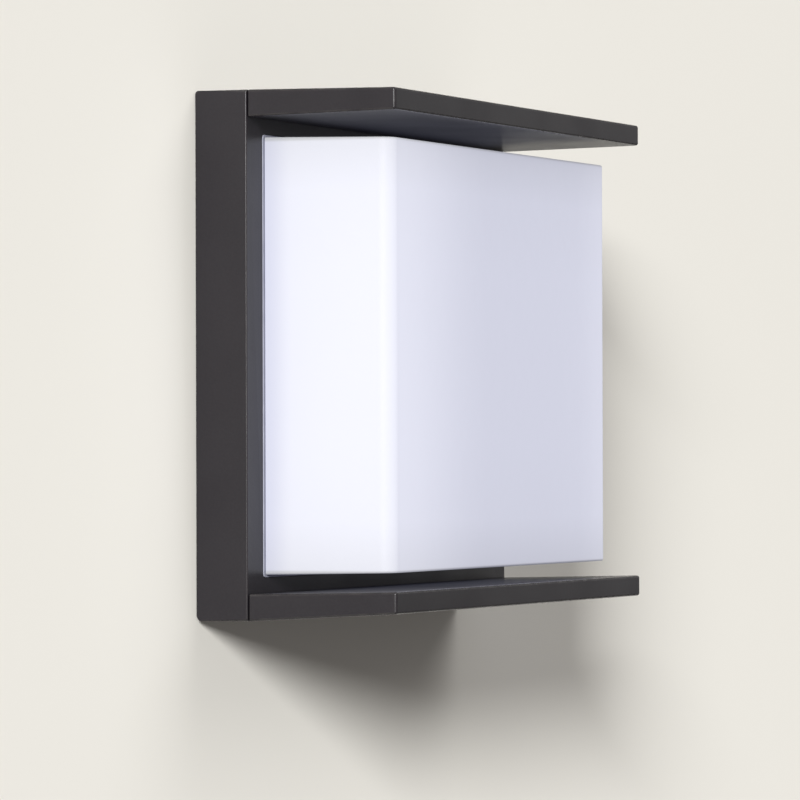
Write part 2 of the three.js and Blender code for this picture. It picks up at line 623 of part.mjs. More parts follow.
// Each lead's first three points and last three lie in line with the hole that its end goes into.
function leadRoutes() {
  const poleEnd = TERMINAL.z + TERMINAL.height / 2 - 4.5;
  const fromPole = (x) => [
    [x, POLE_BORE.y, poleEnd],
    [x, POLE_BORE.y, poleEnd + 4],
    [x, POLE_BORE.y, poleEnd + 8],
  ];
  const driverEnd = DRIVER.width / 2;
  const intoDriver = (z) => [
    [-driverEnd - 4, DRIVER_BORE.y, z],
    [-driverEnd - 1, DRIVER_BORE.y, z],
    [-driverEnd + 3, DRIVER_BORE.y, z],
  ];
  const outOfDriver = (z) => [
    [driverEnd - 3, DRIVER_BORE.y, z],
    [driverEnd + 1, DRIVER_BORE.y, z],
    [driverEnd + 4, DRIVER_BORE.y, z],
  ];
  const throughWall = (z) => [
    [LEAD_HOLE.x, INNER_FRONT + 2, z],
    [LEAD_HOLE.x, INNER_FRONT - 1, z],
    [LEAD_HOLE.x, FRONT - 0.8, z],
    [LEAD_HOLE.x - 1.4, PAD_Y - 0.2, z],
    [LEAD_HOLE.x - 5, PAD_Y, z * 1.6],
    [LEAD_HOLE.x - 9, PAD_Y, z * 2],
    [LEAD_HOLE.x - 12, PAD_Y, z * 2],
  ];
  return {
    line_lead: [
      ...fromPole(POLES.line),
      [-18, -11.2, 9],
      [-36, -10.8, 12],
      [-58, -10.4, 16],
      [-71, DRIVER_BORE.y, 24],
      [-71, DRIVER_BORE.y, 33],
      ...intoDriver(DRIVER_BORE.high),
    ],
    neutral_lead: [
      ...fromPole(POLES.neutral),
      [-6, -11.2, 12],
      [-24, -10.8, 16.5],
      [-48, -10.4, 19],
      [-64, DRIVER_BORE.y, 22.5],
      [-67.6, DRIVER_BORE.y, 28.4],
      ...intoDriver(DRIVER_BORE.low),
    ],
    earth_lead: [
      ...fromPole(POLES.earth),
      [18, -11.2, 9],
      [34, -11, 6],
      [41, -11, -10],
      [41, -11, -32],
      [42.5, EARTH_WIRE_Y, -47],
      [46, EARTH_WIRE_Y, EARTH_BOSS.z],
      [49, EARTH_WIRE_Y, EARTH_BOSS.z],
      [52.5, EARTH_WIRE_Y, EARTH_BOSS.z],
    ],
    led_lead_plus: [
      ...outOfDriver(DRIVER_BORE.high),
      [71, DRIVER_BORE.y, 34],
      [76, DRIVER_BORE.y, 24],
      [76, DRIVER_BORE.y, 8],
      [71.5, DRIVER_BORE.y, -0.6],
      [67, DRIVER_BORE.y - 1.4, -LEAD_PAIR],
      ...throughWall(-LEAD_PAIR),
    ],
    led_lead_minus: [
      ...outOfDriver(DRIVER_BORE.low),
      [69.4, DRIVER_BORE.y, 28],
      [71.2, DRIVER_BORE.y, 18],
      [69.6, DRIVER_BORE.y, 7],
      [66.6, DRIVER_BORE.y - 1.4, 2.2],
      ...throughWall(LEAD_PAIR),
    ],
  };
}

// ---- the locking screws --------------------------------------------------------------------------

// A grub screw along Z, with its hex socket facing down.
function lockScrew() {
  const bottom = -HALF_HEIGHT + GAP;
  const top = -CAVITY.z;
  const { radius, socket, socketDepth } = LOCK_SCREW;
  const coneHeight = 0.8;
  const shank = barZ(radius, bottom, top - coneHeight, 0, 0, 24);
  const cone = new THREE.CylinderGeometry(radius * 0.55, radius, coneHeight + 0.01, 24);
  cone.rotateX(Math.PI / 2).translate(0, 0, top - coneHeight / 2);
  const hex = barZ(socket, bottom - 1, bottom + socketDepth, 0, 0, 6);
  return combine(shank, { add: [cone], cut: [hex] });
}

// ---- the assembly --------------------------------------------------------------------------------

function named(name, geometry, material, x = 0, y = 0, z = 0) {
  const mesh = new THREE.Mesh(geometry, material);
  mesh.name = name;
  mesh.position.set(x, y, z);
  return mesh;
}

const wallMount = new THREE.Group();
wallMount.add(named('wall_plate', wallPlate(), FINISHES.zincSteel));
wallMount.add(named('cable_grommet', cableGrommet(), FINISHES.darkRubber, 0, 0, -CABLE_HOLE_DROP));

const casing = new THREE.Group();
casing.add(named('rear_housing', rearHousing(), FINISHES.powderCoat));
casing.add(named('wall_gasket', wallGasket(), FINISHES.darkRubber));
casing.add(named('top_plate', plate(1), FINISHES.powderCoat));
casing.add(named('bottom_plate', plate(-1), FINISHES.powderCoat));
casing.add(named('diffuser_gasket', diffuserGasket(), FINISHES.greySilicone));
casing.add(named('diffuser', diffuser(), FINISHES.opal));

const plateScrew = panHeadScrew(PLATE_SCREW);
for (const [where, x] of Object.entries(PLATE_SCREW_X)) {
  casing.add(named(`top_plate_screw_${where}`, plateScrew, FINISHES.steel, x, SEAT, PLATE_SCREW_Z));
  casing.add(named(`bottom_plate_screw_${where}`, plateScrew, FINISHES.steel, x, SEAT, -PLATE_SCREW_Z));
}
const diffuserScrew = panHeadScrew(DIFFUSER_SCREW);
for (const [where, [x, z]] of Object.entries(cornersOf(DIFFUSER_BOSS))) {
  casing.add(named(`diffuser_screw_${where}`, diffuserScrew, FINISHES.steel, x, SEAT, z));
}

const lightSource = new THREE.Group();
lightSource.add(named('led_board', ledBoard(), FINISHES.board));
lightSource.add(named('reflector', reflector(), FINISHES.whiteSheet));
lightSource.add(named('lead_grommet', leadGrommet(), FINISHES.darkRubber));
// These four are put in from the front, so their heads face the other way.
const boardScrew = panHeadScrew(BOARD_SCREW).rotateX(Math.PI).rotateY(Math.PI);
const boardScrewY = REFLECTOR_FRONT - GAP;
for (const [where, [x, z]] of Object.entries(cornersOf(BOARD_SCREW_AT))) {
  lightSource.add(named(`board_screw_${where}`, boardScrew, FINISHES.steel, x, boardScrewY, z));
}

const supply = new THREE.Group();
supply.add(named('led_driver', ledDriver(), FINISHES.driverCase));
const driverScrew = panHeadScrew(DRIVER_SCREW);
const driverScrewY = SEAT + DRIVER_LUG.thickness + GAP;
for (const [i, where] of ['left', 'right'].entries()) {
  const place = [DRIVER_SCREW_X[i], driverScrewY, DRIVER_LUG.z];
  supply.add(named(`driver_screw_${where}`, driverScrew, FINISHES.steel, ...place));
}
supply.add(named('terminal_block', terminalBlock(), FINISHES.blockPlastic));
const blockScrew = panHeadScrew(BLOCK_SCREW);
for (const [i, where] of ['left', 'right'].entries()) {
  const place = [BLOCK_SCREW_X[i], BLOCK_SCREW_SEAT, TERMINAL.z];
  supply.add(named(`terminal_fixing_screw_${where}`, blockScrew, FINISHES.steel, ...place));
}
const clamp = clampScrew();
for (const [pole, x] of Object.entries(POLES)) {
  const upper = TERMINAL.z + CLAMP_SCREW.offset;
  const lower = TERMINAL.z - CLAMP_SCREW.offset;
  supply.add(named(`${pole}_clamp_screw_upper`, clamp, FINISHES.brass, x, 0, upper));
  supply.add(named(`${pole}_clamp_screw_lower`, clamp, FINISHES.brass, x, 0, lower));
}
supply.add(named('earth_ring', earthRing(), FINISHES.brass));
const earthScrewY = EARTH_RING.back + EARTH_RING.thickness + GAP;
const earthScrew = panHeadScrew(EARTH_SCREW);
const earthScrewPlace = [EARTH_BOSS.x, earthScrewY, EARTH_BOSS.z];
supply.add(named('earth_screw', earthScrew, FINISHES.steel, ...earthScrewPlace));

const LEAD_FINISHES = {
  line_lead: FINISHES.brownWire,
  neutral_lead: FINISHES.blueWire,
  earth_lead: FINISHES.greenYellowWire,
  led_lead_plus: FINISHES.redWire,
  led_lead_minus: FINISHES.blackWire,
};
for (const [name, points] of Object.entries(leadRoutes())) {
  supply.add(named(name, wire(points), LEAD_FINISHES[name]));
}

const locks = new THREE.Group();
const lock = lockScrew();
locks.add(named('lock_screw_left', lock, FINISHES.steel, -LOCK_SCREW.x, LOCK_SCREW.y, 0));
locks.add(named('lock_screw_right', lock, FINISHES.steel, LOCK_SCREW.x, LOCK_SCREW.y, 0));

const lamp = new THREE.Group();
lamp.add(casing, lightSource, supply, locks);

const lantern = new THREE.Group();
lantern.add(wallMount, lamp);

export default lantern;
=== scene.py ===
import json
import math

import bmesh
import bpy
from mathutils import Matrix, Vector

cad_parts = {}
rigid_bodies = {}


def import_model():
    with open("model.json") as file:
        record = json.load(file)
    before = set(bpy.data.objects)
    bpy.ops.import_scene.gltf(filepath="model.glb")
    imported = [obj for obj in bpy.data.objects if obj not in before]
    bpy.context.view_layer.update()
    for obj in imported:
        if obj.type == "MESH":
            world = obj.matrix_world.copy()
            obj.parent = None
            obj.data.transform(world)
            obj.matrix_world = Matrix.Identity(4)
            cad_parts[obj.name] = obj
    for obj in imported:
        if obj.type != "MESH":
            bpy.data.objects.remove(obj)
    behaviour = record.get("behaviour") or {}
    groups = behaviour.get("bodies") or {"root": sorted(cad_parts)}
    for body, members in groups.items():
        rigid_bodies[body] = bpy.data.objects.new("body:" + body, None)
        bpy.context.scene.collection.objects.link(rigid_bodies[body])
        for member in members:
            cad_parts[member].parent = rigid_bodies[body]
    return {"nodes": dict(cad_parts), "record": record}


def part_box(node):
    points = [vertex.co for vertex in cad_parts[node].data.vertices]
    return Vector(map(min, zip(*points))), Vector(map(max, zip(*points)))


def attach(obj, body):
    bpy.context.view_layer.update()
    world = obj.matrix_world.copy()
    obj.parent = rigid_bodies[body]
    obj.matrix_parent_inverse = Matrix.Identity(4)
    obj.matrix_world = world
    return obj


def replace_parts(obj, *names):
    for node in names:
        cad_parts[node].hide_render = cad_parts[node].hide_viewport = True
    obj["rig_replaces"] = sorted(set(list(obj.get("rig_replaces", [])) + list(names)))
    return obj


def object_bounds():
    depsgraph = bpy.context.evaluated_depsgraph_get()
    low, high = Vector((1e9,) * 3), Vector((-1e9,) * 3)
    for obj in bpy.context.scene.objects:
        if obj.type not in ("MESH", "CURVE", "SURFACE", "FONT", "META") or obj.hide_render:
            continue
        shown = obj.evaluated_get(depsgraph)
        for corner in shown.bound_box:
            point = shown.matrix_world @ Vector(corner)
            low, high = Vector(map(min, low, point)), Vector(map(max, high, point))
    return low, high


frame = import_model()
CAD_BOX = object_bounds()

MM = 0.001

# ---- camera, lights and surroundings ---------------------------------------------------------------

CAMERA_SENSOR = 36.0  # millimetres
CAMERA_LENS = 243.18  # millimetres
CAMERA_DISTANCE = 1.9492
CAMERA_TARGET = Vector((0.06091, 0.0, -0.01334))
CAMERA_TURN = (-67.824, 0.5, -0.159)  # turn, pitch and roll, in degrees

# Each far light: the way it travels, how wide it looks in degrees, and its strength. The back light
# reaches only what can be seen from behind the wall.
FAR_LIGHTS = {
    "key_light": (Vector((3.07, 1.0, -0.91)), 14.0, 6.7),
    "second_light": (Vector((-0.45, 1.0, -0.9)), 45.0, 0.85),
    "back_light": (Vector((-0.3, -1.0, -0.7)), 60.0, 2.6),
}
FILL_AT = Vector((2.1, -1.0, 0.35))
FILL_SIZE = 1.3
FILL_POWER = 1.25
AMBIENT_COLOUR = (1.0, 0.955, 0.94)
AMBIENT_STRENGTH = 0.20

WALL_COLOUR = Vector((0.822, 0.803, 0.745))
WALL_DARKER = 0.985  # its faint patches, against WALL_COLOUR
WALL_REACH = 1.5  # from the lantern to the wall's sides
WALL_GAP = 0.3 * MM  # from the lantern's back to the wall
PATCH_MARGIN = 0.5 * MM  # beyond the wall plate, of the opening in the wall
FLOOR_DROP = 1.6  # the floor lies this far below the lantern
FLOOR_REACH = 5.0
BACKDROP_RADIUS = 9.0

# ---- the finer shape of the edges ------------------------------------------------------------------

EDGE_RADIUS = 0.9 * MM  # of the painted castings
SEAM_RADIUS = 0.35 * MM  # of their edges along a seam
DIFFUSER_RADIUS = 0.7 * MM
ROUNDING_STEPS = 4
SHORT_EDGE = 5 * MM  # shorter edges of the castings stay sharp
AT_FACE = 0.1 * MM  # an edge this close to a face of the node's box lies on it
CASTING_SIDE = 0.6 * MM  # a casting's outer edges lie this close to its box
DIFFUSER_SIDE = 1.2 * MM  # the same for the diffuser, whose sides lean in
NARROW_FACE = 0.8 * MM  # narrower faces belong to a rounded edge
SAME_POINT = 0.001 * MM
FLAT_ANGLE = math.radians(0.6)  # triangles that meet at less than this are one flat face
ROUNDED_ANGLE = math.radians(25)  # edges that turn by more than this are rounded
SHARP_ANGLE = math.radians(35)  # edges that turn by more than this are shaded sharp

# ---- the diffuser's glow ---------------------------------------------------------------------------

# The added glow beside the upright edges, from the diffuser's left side (0) to its right (1): partly the lamp's
# own glow near its side walls and partly painted light of the studio lamps scattered in through its sides,
# strongest and widest at the left, where the key light falls.
EDGE_GLOW_AND_PAINTED_LIGHT_ACROSS = (
    (0.0, 0.0), (0.004, 0.0), (0.02, 0.62), (0.035, 0.72), (0.07, 0.68), (0.15, 0.55), (0.28, 0.20),
    (0.42, 0.0), (0.85, 0.0), (0.98, 0.36), (0.998, 0.40), (1.0, 0.0),
)
# The even glow, from the diffuser's bottom (0) to its top (1): the two end faces glow least.
GLOW_UPWARD = (
    (0.0, 0.0), (0.006, 0.0), (0.012, 0.72), (0.12, 0.95), (0.3, 1.0),
    (0.7, 1.0), (0.88, 0.95), (0.988, 0.72), (0.994, 0.0), (1.0, 0.0),
)
GLOW_LEAST = 0.32  # where GLOW_UPWARD is 0
GLOW_COLOUR = (0.430, 0.442, 0.566)
GLOW_ROOT_COLOUR = (0.300, 0.315, 0.480)
GLOW_ROOT_DEPTH = 10 * MM  # the glow changes to its root colour over this depth
# The colour of the added glow beside the upright edges: white, like the studio lamps' light that it partly
# paints.
EDGE_GLOW_AND_PAINTED_LIGHT_COLOUR = (0.20, 0.20, 0.20)
BLACK = (0.0, 0.0, 0.0)


def link(obj):
    bpy.context.scene.collection.objects.link(obj)
    return obj


# ---- material nodes --------------------------------------------------------------------------------


class Look:
    """A material's node tree, with short calls for the textures that a finish is made of."""

    def __init__(self, name, **constants):
        """Constants set the shader's own sockets: Base_Color stands for Base Color."""
        self.material = bpy.data.materials.new(name)
        self.material.use_nodes = True
        self.tree = self.material.node_tree
        self.tree.nodes.clear()
        self.shader = self.add("ShaderNodeBsdfPrincipled")
        self.output = self.add("ShaderNodeOutputMaterial")
        self.surface(self.shader.outputs["BSDF"])
        self.place = self.add("ShaderNodeTexCoord").outputs["Object"]
        for socket, value in constants.items():
            self.shader.inputs[socket.replace("_", " ")].default_value = value

    def add(self, kind, **settings):
        node = self.tree.nodes.new(kind)
        for name, value in settings.items():
            setattr(node, name, value)
        return node

    def join(self, source, target):
        self.tree.links.new(source, target)

    def feed(self, socket, source):
        """Gives a socket a number, a colour or another node's output."""
        if isinstance(source, (int, float)):
            socket.default_value = source
        elif isinstance(source, (tuple, Vector)):
            socket.default_value = (*source, 1.0)
        else:
            self.join(source, socket)

    def surface(self, shader):
        self.join(shader, self.output.inputs["Surface"])

    def noise(self, grain, detail=2.0, roughness=0.5, stretch=None):
        """Smooth noise from 0 to 1, with patches about grain metres across."""
        node = self.add("ShaderNodeTexNoise")
        node.inputs["Scale"].default_value = 1 / grain
        node.inputs["Detail"].default_value = detail
        node.inputs["Roughness"].default_value = roughness
        place = self.place
        if stretch:
            mapping = self.add("ShaderNodeMapping")
            mapping.inputs["Scale"].default_value = stretch
            self.join(place, mapping.inputs["Vector"])
            place = mapping.outputs["Vector"]
        self.join(place, node.inputs["Vector"])
        return node.outputs["Fac"]

    def cells(self, grain):
        """0 in the middle of each soft cell, rising towards its rim."""
        node = self.add("ShaderNodeTexVoronoi", feature="SMOOTH_F1")
        node.inputs["Scale"].default_value = 1 / grain
        self.join(self.place, node.inputs["Vector"])
        return node.outputs["Distance"]

    def part_of(self, vector, name):
        node = self.add("ShaderNodeSeparateXYZ")
        self.join(vector, node.inputs["Vector"])
        return node.outputs[name]

    def axis(self, name):
        """The place along X, Y or Z, in metres."""
        return self.part_of(self.place, name)

    def facing(self, name):
        """The surface's normal along X, Y or Z in the object's own frame."""
        turn = self.add(
            "ShaderNodeVectorTransform", vector_type="NORMAL", convert_from="WORLD", convert_to="OBJECT"
        )
        self.join(self.add("ShaderNodeNewGeometry").outputs["Normal"], turn.inputs["Vector"])
        return self.part_of(turn.outputs["Vector"], name)

    def painted(self, name):
        """A number that the mesh itself carries."""
        return self.add("ShaderNodeAttribute", attribute_name=name).outputs["Fac"]

    def spread(self, source, low, high, start=0.0, end=1.0, smooth=False):
        """source from start to end, spread from low to high."""
        node = self.add("ShaderNodeMapRange")
        if smooth:
            node.interpolation_type = "SMOOTHSTEP"
        ends = {"From Min": start, "From Max": end, "To Min": low, "To Max": high}
        for socket, value in ends.items():
            node.inputs[socket].default_value = value
        self.join(source, node.inputs["Value"])
        return node.outputs["Result"]

    def maths(self, operation, first, second):
        node = self.add("ShaderNodeMath", operation=operation)
        self.feed(node.inputs[0], first)
        self.feed(node.inputs[1], second)
        return node.outputs["Value"]

    def mix(self, share, first, second, blend_type="MIX"):
        """first where share is 0 and second where it is 1."""
        node = self.add("ShaderNodeMix", data_type="RGBA", blend_type=blend_type)
        self.feed(node.inputs[0], share)
        self.feed(node.inputs[6], first)
        self.feed(node.inputs[7], second)
        return node.outputs[2]

    def ramp(self, source, levels, interpolation="LINEAR"):
        """A level for each (place, level) along source."""
        node = self.add("ShaderNodeValToRGB")
        node.color_ramp.interpolation = interpolation
        elements = node.color_ramp.elements
        while len(elements) < len(levels):
            elements.new(0.5)
        for element, (place, level) in zip(elements, levels):
            element.position = place
            element.color = (level, level, level, 1.0)
        self.join(source, node.inputs["Fac"])
        return node.outputs["Color"]

    def bump(self, height, depth, under=None):
        """Raises the surface by depth metres where height is 1."""
        node = self.add("ShaderNodeBump")
        node.inputs["Strength"].default_value = 1.0
        node.inputs["Distance"].default_value = depth
        self.join(height, node.inputs["Height"])
        if under is not None:
            self.join(under, node.inputs["Normal"])
        return node.outputs["Normal"]

    def into(self, **sources):
        """Links sources to the shader's sockets."""
        for name, source in sources.items():
            self.join(source, self.shader.inputs[name.replace("_", " ")])
        return self.material


# ---- finishes --------------------------------------------------------------------------------------


def powder_coat():
    """Satin powder paint: a fine grain, faint clouds, and rounded edges that are smoother and paler, more so
    here and there; the paler colour is partly worn paint and partly a painted highlight along the edges.
    """
    look = Look("powder_coat", Metallic=0.0, IOR=1.5, Specular_IOR_Level=0.28)
    grains = look.noise(0.45 * MM, detail=3.0, roughness=0.6)
    swells = look.noise(2.2 * MM, detail=1.0)
    clouds = look.noise(38 * MM, detail=3.0)
    speckle = look.spread(look.noise(0.8 * MM, detail=1.0), 0.0, 1.0, start=0.3, end=0.7)
    wear_and_highlight = look.spread(look.noise(3.5 * MM, detail=3.0), 0.15, 0.75, start=0.35, end=0.65)
    edge = look.maths("MULTIPLY", look.painted("edge"), wear_and_highlight)

    cloudy = look.mix(clouds, (0.0092, 0.0079, 0.0100), (0.0114, 0.0098, 0.0119))
    grained = look.mix(look.maths("MULTIPLY", speckle, 0.35), cloudy, (0.0155, 0.0138, 0.0157))
    # Paler on the rounded edges: partly worn paint and partly a painted highlight along them.
    colour = look.mix(edge, grained, (0.029, 0.0265, 0.027))

    rough = look.spread(clouds, 0.30, 0.38, start=0.3, end=0.7)
    rough = look.maths("ADD", rough, look.spread(grains, -0.05, 0.05))
    rough = look.maths("SUBTRACT", rough, look.maths("MULTIPLY", edge, 0.16))
    normal = look.bump(swells, 0.010 * MM, under=look.bump(grains, 0.018 * MM))
    return look.into(Base_Color=colour, Roughness=rough, Normal=normal)


def opal_diffuser():
    """Satin opal plastic lit from inside: it glows less at both ends and more beside its upright edges, where
    the added glow is partly its own and partly painted light of the studio lamps, most of all at its left,
    where the key light falls.
    """
    look = Look("opal_diffuser", Metallic=0.0, IOR=1.49, Specular_IOR_Level=0.12, Emission_Strength=1.0)
    low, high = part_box("diffuser")
    across = look.spread(look.axis("X"), 0.0, 1.0, start=low.x, end=high.x)
    upward = look.spread(look.axis("Z"), 0.0, 1.0, start=low.z, end=high.z)
    outward = look.spread(look.axis("Y"), 1.0, 0.0, start=high.y - GLOW_ROOT_DEPTH, end=high.y, smooth=True)

    even = look.spread(look.ramp(upward, GLOW_UPWARD), GLOW_LEAST, 1.0)
    glow = look.mix(even, BLACK, look.mix(outward, GLOW_ROOT_COLOUR, GLOW_COLOUR))
    # Painted light, in part: a white glow added beside the upright edges, strongest at the left, where the key
    # light falls on the opal.
    edge_glow_and_painted_light = look.mix(look.ramp(across, EDGE_GLOW_AND_PAINTED_LIGHT_ACROSS, interpolation="B_SPLINE"), BLACK, EDGE_GLOW_AND_PAINTED_LIGHT_COLOUR)
    glow = look.mix(1.0, glow, edge_glow_and_painted_light, blend_type="ADD")

    base = look.mix(look.noise(60 * MM, detail=2.0), (0.192, 0.192, 0.182), (0.205, 0.205, 0.195))
    rough = look.spread(look.noise(6 * MM, detail=3.0), 0.50, 0.62, start=0.3, end=0.7)
    normal = look.bump(look.noise(1.1 * MM, detail=2.0), 0.004 * MM)
    return look.into(Base_Color=base, Emission_Color=glow, Roughness=rough, Normal=normal)


def rubbery(name, dark, light):
    look = Look(name, Metallic=0.0, IOR=1.45)
    bloom = look.spread(look.noise(7 * MM, detail=4.0), 0.0, 1.0, start=0.3, end=0.7)
    rough = look.spread(look.noise(2 * MM, detail=2.0), 0.62, 0.82)
    normal = look.bump(look.noise(0.5 * MM, detail=3.0), 0.02 * MM)
    return look.into(Base_Color=look.mix(bloom, dark, light), Roughness=rough, Normal=normal)


def zinc_steel():
    """Rolled sheet with a cloudy zinc layer."""
    look = Look("zinc_steel", Metallic=1.0)
    spangle = look.cells(7 * MM)
    rolled = look.noise(0.7 * MM, detail=3.0, stretch=(0.12, 1.0, 1.0))
    stain = look.maths("MULTIPLY", look.noise(22 * MM, detail=5.0), 0.3)
    colour = look.mix(stain, look.mix(spangle, (0.63, 0.64, 0.655), (0.68, 0.685, 0.695)), (0.52, 0.52, 0.51))
    rough = look.maths("ADD", look.spread(rolled, 0.40, 0.52), look.spread(spangle, 0.0, 0.04))
    return look.into(Base_Color=colour, Roughness=rough, Normal=look.bump(rolled, 0.006 * MM))


def screw_steel():
    look = Look("stainless_steel", Metallic=1.0)
    turned = look.noise(0.25 * MM, detail=2.0)
    colour = look.mix(look.noise(3 * MM, detail=3.0), (0.50, 0.50, 0.505), (0.66, 0.655, 0.65))
    rough = look.spread(turned, 0.20, 0.36)
    return look.into(Base_Color=colour, Roughness=rough, Normal=look.bump(turned, 0.004 * MM))


def brassy(name, dark, light):
    look = Look(name, Metallic=1.0)
    tarnish = look.spread(look.noise(2.5 * MM, detail=4.0), 0.0, 1.0, start=0.3, end=0.7)
    rough = look.spread(tarnish, 0.36, 0.22)
    normal = look.bump(look.noise(0.3 * MM, detail=2.0), 0.004 * MM)
    return look.into(Base_Color=look.mix(tarnish, dark, light), Roughness=rough, Normal=normal)


def led_board_white():
    """White solder mask, with yellow phosphor on the pads that stand proud of it."""
    look = Look("board_white", Metallic=0.0, IOR=1.5)
    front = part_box("led_board")[0].y
    proud = look.spread(look.axis("Y"), 1.0, 0.0, start=front, end=front + 0.5 * MM)
    mask = look.mix(look.noise(9 * MM, detail=3.0), (0.80, 0.80, 0.77), (0.87, 0.87, 0.845))
    colour = look.mix(look.maths("GREATER_THAN", proud, 0.2), mask, (0.86, 0.66, 0.20))
    rough = look.spread(look.noise(1.5 * MM, detail=2.0), 0.30, 0.45)
    return look.into(Base_Color=colour, Roughness=rough, Normal=look.bump(look.noise(0.6 * MM), 0.005 * MM))


def moulded(name, dark, light, smoothest, roughest):
    look = Look(name, Metallic=0.0, IOR=1.49)
    flow = look.noise(12 * MM, detail=3.0, stretch=(1.0, 1.0, 0.5))
    rough = look.spread(look.noise(1.8 * MM, detail=2.0), smoothest, roughest)
    normal = look.bump(look.noise(0.7 * MM), 0.008 * MM)
    return look.into(Base_Color=look.mix(flow, dark, light), Roughness=rough, Normal=normal)


def insulation(name, dark, light):
    return moulded(name, dark, light, 0.32, 0.48)


def earth_insulation():
    """Green insulation with a yellow stripe along it."""
    look = Look("green_yellow_pvc", Metallic=0.0, IOR=1.5)
    stripe = look.spread(look.facing("Y"), 0.0, 1.0, start=-0.2, end=0.2, smooth=True)
    hue = look.mix(stripe, (0.06, 0.25, 0.05), (0.70, 0.62, 0.04))
    grime = look.maths("MULTIPLY", look.noise(4 * MM, detail=3.0), 0.25)
    colour = look.mix(grime, hue, (0.30, 0.33, 0.10))
    rough = look.spread(look.noise(1.2 * MM), 0.32, 0.48)
    return look.into(Base_Color=colour, Roughness=rough, Normal=look.bump(look.noise(0.5 * MM), 0.006 * MM))


def plaster_wall():
    """The wall behind the lantern, which is seen from its front only."""
    look = Look("plaster_wall", Metallic=0.0, Specular_IOR_Level=0.0)
    colour = look.mix(look.noise(0.35, detail=4.0), WALL_COLOUR, WALL_DARKER * WALL_COLOUR)
    rough = look.spread(look.noise(0.05), 0.82, 0.95)
    normal = look.bump(look.noise(1.6 * MM, detail=2.0), 0.012 * MM)
    look.into(Base_Color=colour, Roughness=rough, Normal=normal)
    sides = look.add("ShaderNodeMixShader")
    look.join(look.add("ShaderNodeNewGeometry").outputs["Backfacing"], sides.inputs[0])
    look.join(look.shader.outputs["BSDF"], sides.inputs[1])
    look.join(look.add("ShaderNodeBsdfTransparent").outputs["BSDF"], sides.inputs[2])
    look.surface(sides.outputs["Shader"])
    return look.material


def pale_floor():
    look = Look("pale_floor", Metallic=0.0, Specular_IOR_Level=0.0)
    colour = look.mix(look.noise(0.4, detail=4.0), (0.54, 0.525, 0.49), (0.57, 0.555, 0.52))
    return look.into(Base_Color=colour, Roughness=look.spread(look.noise(0.08), 0.6, 0.75))


def pale_glow():
    look = Look("backdrop")
    glow = look.add("ShaderNodeEmission")
    colour = look.mix(look.noise(3.0, detail=1.0), (0.80, 0.785, 0.74), (0.83, 0.815, 0.77))
    look.join(colour, glow.inputs["Color"])
    look.surface(glow.outputs["Emission"])
    return look.material


# The finish of each of the record's material slots.
FINISHES = {
    "powder_coat": powder_coat(),
    "opal_diffuser": opal_diffuser(),
    "grey_silicone": rubbery("grey_silicone", (0.220, 0.225, 0.275), (0.270, 0.275, 0.325)),
    "black_rubber": rubbery("black_rubber", (0.016, 0.016, 0.017), (0.030, 0.030, 0.031)),
    "zinc_steel": zinc_steel(),
    "stainless_steel": screw_steel(),
    "brass": brassy("brass", (0.48, 0.30, 0.09), (0.72, 0.50, 0.20)),
    "tinned_brass": brassy("tinned_brass", (0.52, 0.50, 0.45), (0.68, 0.66, 0.62)),
    "board_white": led_board_white(),
    "white_sheet": moulded("white_sheet", (0.80, 0.80, 0.78), (0.87, 0.87, 0.86), 0.35, 0.5),
    "driver_case": moulded("driver_case", (0.70, 0.70, 0.67), (0.78, 0.78, 0.75), 0.42, 0.58),
    "block_plastic": moulded("block_plastic", (0.62, 0.58, 0.48), (0.70, 0.66, 0.56), 0.38, 0.55),
    "brown_pvc": insulation("brown_pvc", (0.090, 0.030, 0.012), (0.120, 0.045, 0.020)),
    "blue_pvc": insulation("blue_pvc", (0.015, 0.085, 0.330), (0.028, 0.120, 0.420)),
    "green_yellow_pvc": earth_insulation(),
    "red_pvc": insulation("red_pvc", (0.380, 0.016, 0.012), (0.480, 0.030, 0.022)),
    "black_pvc": insulation("black_pvc", (0.012, 0.012, 0.013), (0.022, 0.022, 0.023)),
}


# ---- finished copies of the CAD pieces -------------------------------------------------------------


def flat_mesh(node):
    """The CAD node's mesh with its triangles joined into flat faces."""
    bm = bmesh.new()
    bm.from_mesh(frame["nodes"][node].data)
    bmesh.ops.remove_doubles(bm, verts=bm.verts, dist=SAME_POINT)
    bmesh.ops.dissolve_limit(bm, angle_limit=FLAT_ANGLE, verts=bm.verts, edges=bm.edges)
    bm.normal_update()
    return bm


def finished(node, body, slot, weight_of, width):
    """Stands for a CAD node, with its edges rounded: weight_of gives each edge's share of width."""
    bm = flat_mesh(node)
    low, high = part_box(node)
    weights = bm.edges.layers.float.new("bevel_weight_edge")
    for edge in bm.edges:
        if len(edge.link_faces) == 2 and edge.calc_face_angle(0.0) > ROUNDED_ANGLE:
            edge[weights] = weight_of([v.co for v in edge.verts], low, high)
    mesh = bpy.data.meshes.new(node + "_body")
    bm.to_mesh(mesh)
    bm.free()
    if "UVMap" in mesh.uv_layers:
        mesh.uv_layers.remove(mesh.uv_layers["UVMap"])
    piece = link(bpy.data.objects.new(node + "_body", mesh))
    bevel = piece.modifiers.new("rounded", "BEVEL")
    bevel.limit_method = "WEIGHT"
    bevel.width = width
    bevel.segments = ROUNDING_STEPS
    bevel.use_clamp_overlap = False
    bevel.harden_normals = False
    apply_modifiers(piece)
    mark_edges(piece.data)
    shade(piece)
    piece.data.materials.clear()
    piece.data.materials.append(FINISHES[slot])
    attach(piece, body)
    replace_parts(piece, node)


def apply_modifiers(piece):
    graph = bpy.context.evaluated_depsgraph_get()
    mesh = bpy.data.meshes.new_from_object(piece.evaluated_get(graph))
    old = piece.data
    piece.modifiers.clear()
    piece.data = mesh
    bpy.data.meshes.remove(old)


